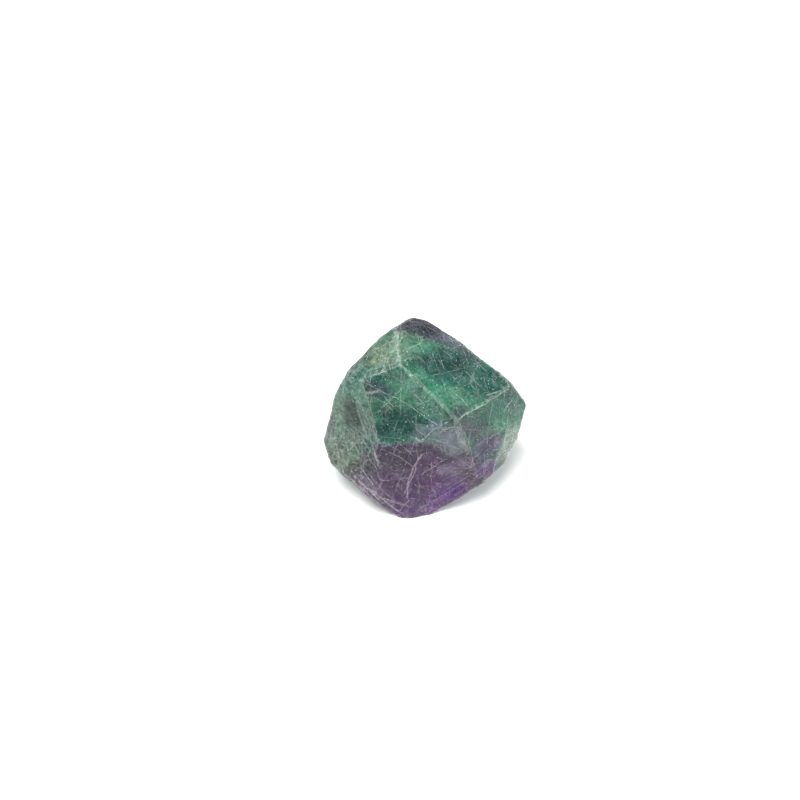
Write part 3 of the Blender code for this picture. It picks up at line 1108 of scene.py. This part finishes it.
    @staticmethod
    def _painted_glints(graph: Graph, place: Socket) -> Value:
        """Draws painted glints: tiny bright dots over the surface.

        Args:
            graph: The material's graph.
            place: Place on the stone.

        Returns:
            How much they show.
        """
        shown = None
        for glint in PAINTED_GLINTS:
            node = graph.node(
                "ShaderNodeTexVoronoi", {}, {"Vector": place, "Scale": 1.0 / glint.spacing_mm}
            )
            picked = Value(graph, node.outputs["Color"]).rise(0.56, 0.68)
            dot = Value(graph, node.outputs["Distance"]).rise(glint.radius, 0.08, 0.0, glint.strength)
            dot = dot * picked
            shown = dot if shown is None else shown.most(dot)
        return shown

    def _mottled(
        self, graph: Graph, place: Socket, milk: Value, slab_reflections: Value, rough: Value, colour: Socket
    ) -> Socket:
        """Shades the colour.

        Args:
            graph: The material's graph.
            place: Place on the stone.
            milk: How milky the crystal is.
            slab_reflections: Painted reflections of the cleavage planes, lighter or darker for each slab
                between the cracks, around 0.
            rough: Roughness of the broken face.
            colour: The colour so far.

        Returns:
            The colour with milky clouds, painted reflections of the cleavage planes and fine grain.
        """
        colour = graph.blend(milk * self.upper_milk, colour, Tone.MILK.value, "SCREEN")
        wide = graph.cloud(place, 2.6, 3.0, 0.6) - 0.5
        fine = graph.cloud(place, 0.45, 4.0, 0.8) - 0.5
        # Painted reflections: each slab between the cleavage cracks is made lighter or darker
        gain = self.brightness + slab_reflections * 1.6 + wide * 1.9 + fine * (3.6 + rough * 1.6)
        return graph.vector("SCALE", colour, factor=gain.most(self.least_brightness))

    @staticmethod
    def _drawn(graph: Graph, picture: Socket, cracks: tuple[Crack, ...]) -> Value:
        """Draws the cracks of a list.

        Args:
            graph: The material's graph.
            picture: The place as it is seen in the photograph.
            cracks: The cracks.

        Returns:
            How much they show, 0 to 1.
        """
        stirred = graph.stirred(picture, 1.3, 0.13, 4.0)
        shown = None
        for crack in cracks:
            nearest = None
            for start, end in zip(crack.route, crack.route[1:]):
                first, last = picture_mm(start), picture_mm(end)
                run = last - first
                local = graph.node(
                    "ShaderNodeMapping",
                    {"vector_type": "TEXTURE"},
                    {"Vector": stirred, "Location": tuple((first + last) / 2),
                     "Rotation": (0.0, 0.0, math.atan2(run.y, run.x))},
                ).outputs[0]
                beyond = graph.vector(
                    "SUBTRACT", graph.vector("ABSOLUTE", local), (run.length / 2, 0.0, 0.0)
                )
                away = graph.vector("LENGTH", graph.vector("MAXIMUM", beyond, (0.0, 0.0, 0.0)))
                nearest = away if nearest is None else nearest.least(away)
            outer, inner = (crack.width_mm * share for share in CRACK_EDGE)
            line = nearest.rise(outer, inner, 0.0, crack.strength)
            shown = line if shown is None else shown.most(line)
        return shown * graph.cloud(picture, 0.4, 3.0, 0.7).rise(0.34, 0.60, 0.2, 0.85)


@dataclass
class Studio:
    """A plain pale floor, soft lights and the camera at the photograph's angle."""

    floor_width: float = 6.0
    floor_tone: Colour = (0.9, 0.9, 0.9)
    floor_roughness: float = 0.8
    room_light: float = 0.66
    lens: float = 200.0
    sensor: float = 36.0
    clip: tuple[float, float] = (0.01, 20.0)
    scale_depth_mm: float = 8.0

    def build(self) -> None:
        """Sets up the floor, the lights and the camera."""
        self._floor()
        self._lights()
        self._camera()

    def _floor(self) -> None:
        """Lays the floor that the stone rests on."""
        bpy.ops.mesh.primitive_plane_add(size=self.floor_width)
        floor = bpy.context.object
        floor.name = "floor"
        graph = Graph("floor")
        paint = graph.node(
            "ShaderNodeBsdfPrincipled",
            {},
            {"Base Color": self.floor_tone, "Roughness": self.floor_roughness},
        )
        graph.node("ShaderNodeOutputMaterial", {}, {"Surface": paint.outputs[0]})
        floor.data.materials.append(graph.material)

    def _lights(self) -> None:
        """Hangs soft lights over the stone and lets white light in from all round."""
        world = bpy.data.worlds.new("studio")
        bpy.context.scene.world = world
        world.use_nodes = True
        background = world.node_tree.nodes["Background"]
        background.inputs["Color"].default_value = (1.0, 1.0, 1.0, 1.0)
        background.inputs["Strength"].default_value = self.room_light
        for softbox in SOFTBOXES:
            lamp = bpy.data.lights.new(softbox.name, "AREA")
            lamp.shape = "SQUARE"
            lamp.size = softbox.size
            lamp.energy = softbox.power
            holder = bpy.data.objects.new(softbox.name, lamp)
            bpy.context.scene.collection.objects.link(holder)
            holder.location = softbox.place
            towards = LIGHT_AIM - holder.location
            holder.rotation_euler = towards.to_track_quat("-Z", "Y").to_euler()

    def _camera(self) -> None:
        """Sets the camera where the photograph was taken from."""
        data = bpy.data.cameras.new("camera")
        data.lens = self.lens
        data.sensor_width = self.sensor
        data.clip_start, data.clip_end = self.clip
        middle = picture_mm((PICTURE_SIZE / 2, PICTURE_SIZE / 2))
        aim_mm = NEAR_CORNER_MM + RIGHT * middle.x + UP * middle.y - TOWARDS * self.scale_depth_mm
        distance = self.lens / self.sensor * PICTURE_SIZE * PIXEL_MM * MM
        camera = bpy.data.objects.new("camera", data)
        camera.location = aim_mm * MM + TOWARDS * distance
        camera.rotation_euler = (-TOWARDS).to_track_quat("-Z", "Y").to_euler()
        bpy.context.scene.collection.objects.link(camera)
        bpy.context.scene.camera = camera
        bpy.context.scene.view_settings.view_transform = "Standard"


def main() -> None:
    """Builds the stone and the studio."""
    logging.basicConfig(level=logging.INFO, format="%(name)s: %(message)s")
    stone = StoneMesh().build()
    log.info("%s has %d vertices", stone.name, len(stone.data.vertices))
    stone.data.materials.append(CrystalFinish().build())
    Studio().build()


if __name__ == "__main__":
    main()
